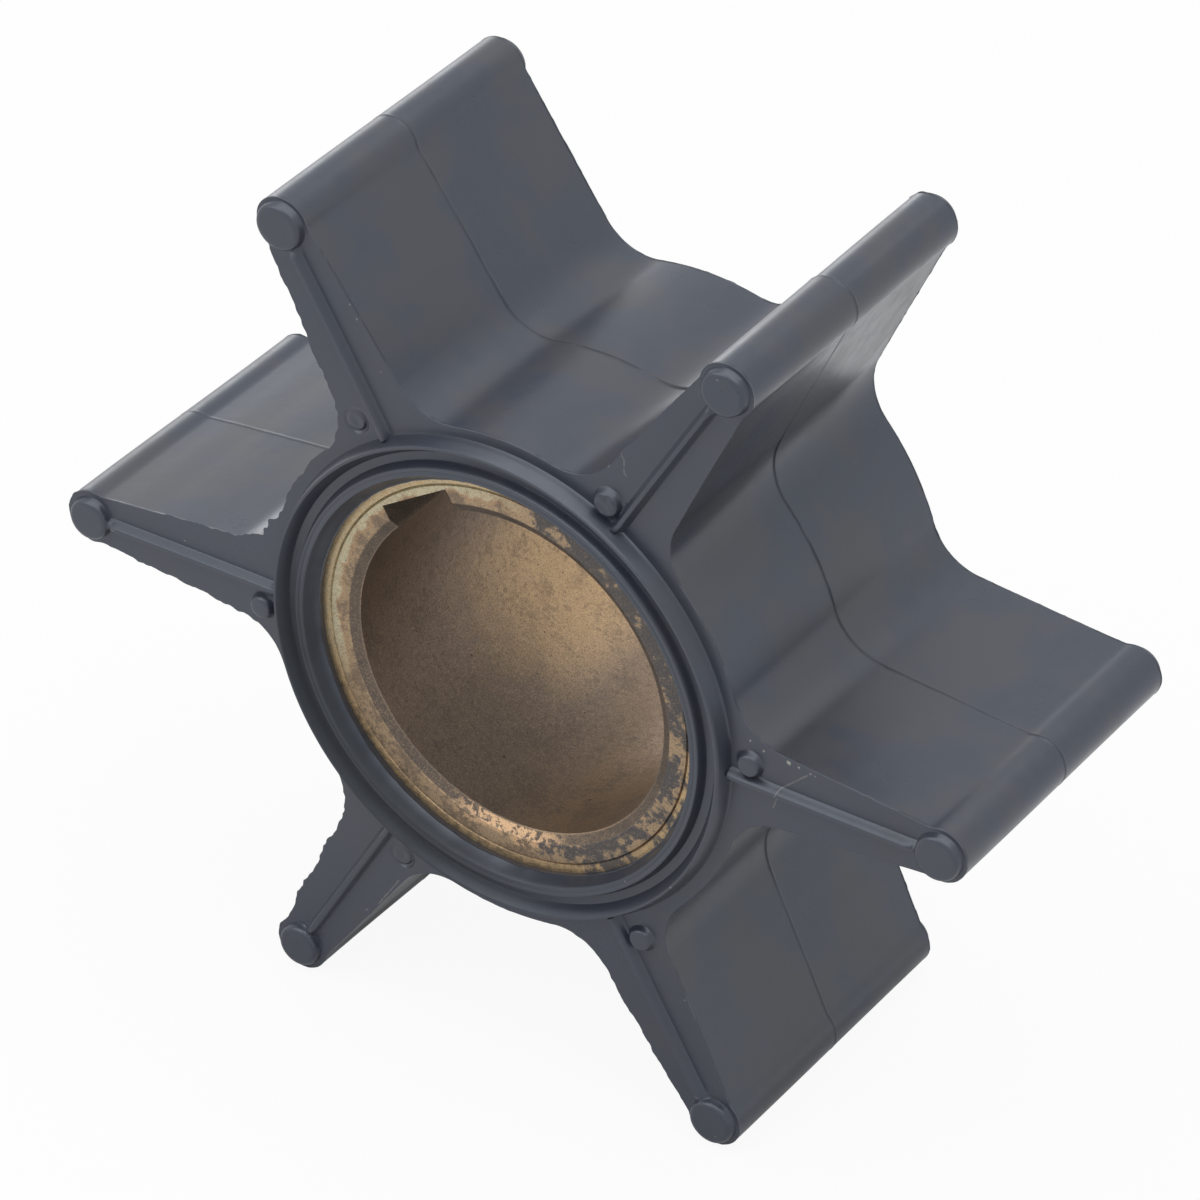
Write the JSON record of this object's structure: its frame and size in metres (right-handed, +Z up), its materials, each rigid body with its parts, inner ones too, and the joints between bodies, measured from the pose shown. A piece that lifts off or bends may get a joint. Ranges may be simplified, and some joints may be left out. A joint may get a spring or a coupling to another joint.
{
  "type": "rubber pump impeller",
  "caption": "Flexible rubber pump impeller with round-beaded radial vanes, ringed hub ends and a keyed brass bush bonded in its hub.",
  "frame": {"origin": "centre of the bore, half way along it", "axes": "+Y along the axis of rotation from the pictured face to the other, +X along one vane, +Z up with the impeller standing on two vane tips"},
  "size_m": [0.0564, 0.0208, 0.0494],
  "materials": {
    "rubber": "satin",
    "brass": "satin"
  },
  "bodies": {
    "root": {"rubber_rotor": "rubber", "brass_hub_bush": "brass"}
  },
  "joints": []
}
